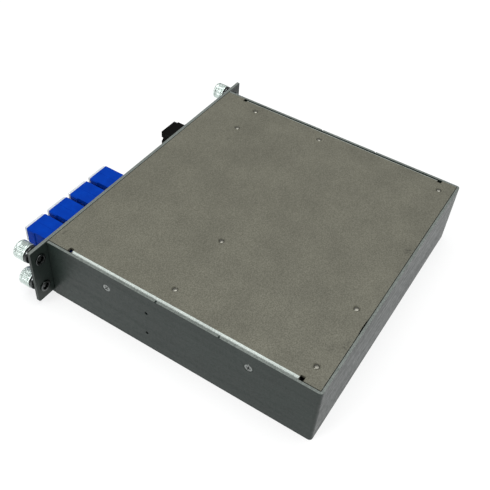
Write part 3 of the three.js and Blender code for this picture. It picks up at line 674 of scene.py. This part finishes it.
def make_thumbscrew(number):
    at = middle(f"thumbscrew_ferrule_{number}")
    where = (at.x, PANEL_FRONT, at.z)
    low, high = box_mm(f"thumbscrew_knob_{number}")
    radius = (high.x - low.x) / 2
    rear, front = high.y - PANEL_FRONT, low.y - PANEL_FRONT
    bore = HUB_OUTER + GAP

    # Knob: straight-knurled bands between turned grooves.
    bands = [(rear - 0.35, rear - 0.9), (rear - 1.4, front + 1.9), (front + 1.25, front + 0.55)]
    profile = [(bore, rear), (radius - 0.45, rear), (radius - 0.12, rear - 0.12)]
    for start, end in bands:
        steps = 4
        profile += [(radius, start + (end - start) * k / steps) for k in range(steps + 1)]
        if end != bands[-1][1]:
            profile += [(radius - 0.22, end - 0.1), (radius - 0.26, end - 0.25), (radius - 0.22, end - 0.4)]
    profile += [
        (radius - 0.2, front + 0.28), (radius - 0.55, front + 0.02), (bore + 0.2, front), (bore, front + 0.2)]
    knob = lathe(f"thumbscrew_grip_{number}", profile, "y", (0, 0, 0), 144,
                 knurl(48, lambda r, y: 0.13 if r > radius - 0.01 else 0.0))
    finish_piece(placed(knob, *where), f"thumbscrew_{number}", "knob_steel",
                 [f"thumbscrew_knob_{number}"], smooth=24, weighted=False)

    # Shaft, spring cup and skirt are one turned piece, slotted across its head.
    tip = 1.4
    profile = fillet([
        (0, tip, 0), (SHAFT - 0.4, tip, 0.15), (SHAFT, tip - 0.5, 0.1), (SHAFT, SHOULDER, 0.15),
        (HUB_INNER, SHOULDER, 0.2), (HUB_INNER, SKIRT_FRONT + 0.2, 0.05),
        (SKIRT_INNER, SKIRT_FRONT + 0.2, 0.1),
        (SKIRT_INNER, SKIRT_REAR, 0.12), (SKIRT_OUTER, SKIRT_REAR, 0.35), (SKIRT_OUTER, SKIRT_FRONT, 0.15),
        (HUB_OUTER, SKIRT_FRONT, 0.05), (HUB_OUTER, HUB_FRONT, 0.25), (0, HUB_FRONT, 0)], 0, 3)
    body = lathe(f"thumbscrew_body_{number}", profile, "y", (0, 0, 0), 64)
    slot = slab("slot", (-HUB_OUTER * 2, HUB_FRONT - 1, -0.4), (HUB_OUTER * 2, HUB_FRONT + 1, 0.4))
    body = combine(body, "DIFFERENCE", [slot])
    finish_piece(placed(body, *where), f"thumbscrew_{number}", "black_steel_satin",
                 [f"thumbscrew_shank_{number}"], smooth=30, weighted=False)

    # Ferrule: flange, barrel and a sleeve swaged over behind the ear. The faces behind the ear take the dark steel
    # as painted shade.
    low, high = box_mm(f"thumbscrew_ferrule_{number}")
    back, ear = high.y - PANEL_FRONT, BODY_FRONT - PANEL_FRONT
    profile = fillet([
        (FERRULE_BORE, back, 0.1), (2.9, back, 0.25), (2.9, ear + 0.06, 0.1), (2.4, ear + 0.06, 0.02),
        (2.4, -0.05, 0.02), (FERRULE_FLANGE, -0.05, 0.1), (FERRULE_FLANGE, FLANGE_FRONT, 0.35),
        (FERRULE_BARREL, FLANGE_FRONT, 0.15), (FERRULE_BARREL, MOUTH, 0.15), (FERRULE_CUP, MOUTH, 0.12),
        (FERRULE_CUP, CUP_FLOOR, 0.1), (FERRULE_BORE, CUP_FLOOR, 0.1)], 0, 4)
    ferrule = lathe(f"thumbscrew_socket_{number}", profile, "y", (0, 0, 0), 64)
    finish_piece(placed(ferrule, *where), "chassis", "nickel",
                 [f"thumbscrew_ferrule_{number}"], smooth=30, weighted=False,
                 extra=("black_steel_satin", lambda c, n: c.y > PANEL_FRONT + 0.5))

    # Spring at its real length, from the hub's shoulder to the floor of the ferrule's cup.
    coil, wire, turns = 2.12, 0.24, 6.0
    near, far = SHOULDER + wire + 0.02, CUP_FLOOR - wire - 0.02
    per_turn, sides = 30, 10
    count = int(turns * per_turn)
    bm = bmesh.new()
    rings = []
    for k in range(count + 1):
        t = k / count
        # Closed end coils: the pitch dies away over the first and last turn.
        ends = 0.9 / turns
        eased = min(max((t - ends * 0.8) / (1 - ends * 1.6), 0), 1)
        y = near + (far - near) * (0.12 * t + 0.88 * eased)
        angle = 2 * math.pi * turns * t
        out = Vector((math.cos(angle), 0, math.sin(angle)))
        centre = out * coil + Vector((0, y, 0))
        rings.append([bm.verts.new(centre + out * wire * math.cos(a) + Vector((0, wire * math.sin(a), 0)))
                      for a in (2 * math.pi * s / sides for s in range(sides))])
    for one, two in zip(rings, rings[1:]):
        for s in range(sides):
            m = (s + 1) % sides
            bm.faces.new((one[s], one[m], two[m], two[s]))
    bm.faces.new(rings[0])
    bm.faces.new(rings[-1])
    spring = to_object(f"thumbscrew_coil_{number}", bm)
    finish_piece(placed(spring, *where), f"thumbscrew_{number}_travel", "spring_steel",
                 [f"thumbscrew_spring_{number}"], weighted=False)
    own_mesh(spring)


# ------------------------------------------------------------------ adapters and caps


# A duplex adapter's ports stand this far to either side of its middle.
PORT_X = 3.125


def make_duplex(number):
    node = f"duplex_adapter_{number}"
    adapter = cad_copy(f"duplex_housing_{number}", node)
    low, high = box_mm(node)
    at = (low + high) / 2
    top, bottom, front = high.z, low.z, low.y
    # Mould split line along the middle of the top and underside.
    cutters = [slab("line", (at.x - 0.12, front - 1, z - 0.12), (at.x + 0.12, PANEL_FRONT - 0.5, z + 0.12))
               for z in (top, bottom)]
    adapter = flatten(combine(adapter, "DIFFERENCE", cutters))
    round_edges(adapter, 0.14)
    finish_piece(adapter, "chassis", "blue_plastic", [node])


def make_duplex_cap(number):
    node = f"duplex_dust_cap_{number}"
    low, high = box_mm(node)
    at = (low + high) / 2
    width, height = high.x - low.x, high.z - low.z
    front, rear = low.y, box_mm(f"duplex_adapter_{number}")[0].y - GAP
    half = width / 2
    head = prism(f"duplex_cap_{number}_shell", fillet([
        (at.x - half, rear), (at.x + half, rear),
        (at.x + half, front, 0.6), (at.x - half, front, 0.6)], 0.1, 4),
        at.z - height / 2, at.z + height / 2)
    # Finger grooves across the head and a shallow dish in its front face.
    cutters = [rod("groove", "z", (x, (front + rear) / 2, 0), 0.22, at.z - height, at.z + height, 20)
               for x in (at.x - half, at.x + half)]
    cutters.append(prism("dish", fillet([
        (at.x - half + 1.3, at.z - height / 2 + 1.2), (at.x + half - 1.3, at.z - height / 2 + 1.2),
        (at.x + half - 1.3, at.z + height / 2 - 1.2), (at.x - half + 1.3, at.z + height / 2 - 1.2)], 0.8, 4),
        front - 1, front + 0.35, "y"))
    head = combine(head, "DIFFERENCE", cutters)
    stubs = [rod("stub", "y", (at.x + x, 0, at.z), 2.1, rear - 0.3, high.y, 32) for x in (-PORT_X, PORT_X)]
    head = flatten(combine(head, "UNION", stubs))
    round_edges(head, 0.22, 3)
    finish_piece(head, f"duplex_cap_{number}", "clear_cap", [node])


def make_multifibre(number):
    node = f"multifibre_adapter_{number}"
    adapter = cad_copy(f"multifibre_housing_{number}", node)
    low, high = box_mm(node)
    at = (low + high) / 2
    # Ribs moulded into both sides in front of the flange.
    body_half, front = 6.2, low.y
    cutters = []
    for side in (1, -1):
        for k in range(3):
            y = front + 0.75 + 1.05 * k
            xs = sorted((at.x + side * (body_half - 0.3), at.x + side * (body_half + 1)))
            cutters.append(slab("rib", (xs[0], y, at.z - 3.4), (xs[1], y + 0.5, at.z + 3.4)))
    adapter = flatten(combine(adapter, "DIFFERENCE", cutters))
    round_edges(adapter, 0.13)
    finish_piece(adapter, "chassis", "black_plastic", [node])
    node = f"multifibre_dust_cap_{number}"
    cap = cad_copy(f"multifibre_cap_{number}_shell", node)
    round_edges(cap, 0.22, 3)
    finish_piece(cap, f"multifibre_cap_{number}", "black_rubber", [node])


# ------------------------------------------------------------------ carried-over CAD nodes


def dress(node, slot, width=0.25, tube=False):
    """A hidden CAD node keeps its shape, with its edges rounded and a finish of its own."""
    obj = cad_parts[node]
    mesh = obj.data
    mesh.materials.clear()
    mesh.materials.append(MATERIALS[slot])
    weld = obj.modifiers.new("weld", "WELD")
    weld.merge_threshold = 1e-6
    if tube:
        mesh.polygons.foreach_set("use_smooth", [True] * len(mesh.polygons))
        return
    flat = obj.modifiers.new("flat", "DECIMATE")
    flat.decimate_type, flat.angle_limit = "DISSOLVE", math.radians(0.6)
    step = obj.modifiers.new("round", "BEVEL")
    step.width, step.segments = width * MM, 2
    step.limit_method, step.angle_limit = "ANGLE", math.radians(35)
    step.harden_normals = True
    mesh.polygons.foreach_set("use_smooth", [True] * len(mesh.polygons))


make_tray()
make_cover()
make_panel()
make_screws()
for n in range(1, 5):
    make_thumbscrew(n)
for n in range(1, 9):
    make_duplex(n)
    make_duplex_cap(n)
    dress(f"duplex_plug_{n}", "plug_plastic", 0.2)
for n in (1, 2):
    make_multifibre(n)
    dress(f"multifibre_plug_{n}", "black_plastic", 0.2)
    dress(f"fanout_block_{n}", "black_plastic", 0.5)
    dress(f"fibre_legs_{n}", "yellow_jacket", tube=True)
    dress(f"trunk_fibre_{n}", "yellow_jacket", tube=True)
dress("fibre_deck", "deck_plastic", 0.25)

# ------------------------------------------------------------------ floor, lights and camera

bm = bmesh.new()
bmesh.ops.create_grid(bm, x_segments=8, y_segments=8, size=6)
floor = to_object("floor", bm)
floor_nodes = Nodes("floor", Roughness=0.8, Specular_IOR_Level=0.1, Emission_Strength=0.72)
floor_nodes.shader.inputs["Emission Color"].default_value = (1, 1, 1, 1)
floor.data.materials.append(floor_nodes.feed(Base_Color=floor_nodes.blend(
    floor_nodes.noise(120, 2), linear(146, 146, 146), linear(143, 144, 144))))

world = bpy.data.worlds.new("studio")
world.use_nodes = True
world.node_tree.nodes["Background"].inputs["Color"].default_value = (1.0, 1.0, 1.0, 1)
world.node_tree.nodes["Background"].inputs["Strength"].default_value = 0.34
scene.world = world


def aim(obj, location, target):
    scene.collection.objects.link(obj)
    obj.location = location
    obj.rotation_mode = "QUATERNION"
    obj.rotation_quaternion = (Vector(target) - Vector(location)).to_track_quat("-Z", "Y")


def softbox(name, location, target, size, power):
    data = bpy.data.lights.new(name, "AREA")
    data.shape, data.size, data.size_y, data.energy = "RECTANGLE", size[0], size[1], power
    aim(bpy.data.objects.new(name, data), location, target)


# A broad overhead light keeps the pale floor bright; the softbox lights the cover's near bend.
overhead = bpy.data.lights.new("overhead", "SUN")
overhead.energy, overhead.angle = 2.35, 0.95
aim(bpy.data.objects.new("overhead", overhead), (-0.12, 0.1, 1.0), (0, 0, 0))
softbox("key", (0.78, -0.37, 0.68), (0, 0, 0.02), (0.45, 0.35), 4)

lens = bpy.data.cameras.new("camera")
lens.sensor_width, lens.lens = 36, 53.07
lens.clip_start, lens.clip_end = 0.01, 20
camera = bpy.data.objects.new("camera", lens)
scene.collection.objects.link(camera)
# The camera's right, down and ahead directions, and its place in metres.
right = Vector((-0.53322532, 0.84346218, 0.06513299))
down = Vector((0.57925216, 0.42013694, -0.69853553))
ahead = Vector((-0.61655308, -0.33474841, -0.71260494))
turn = Matrix((right, -down, -ahead)).transposed()
camera.matrix_world = Matrix.Translation((0.22698, 0.11304, 0.26839)) @ turn.to_4x4()
scene.camera = camera
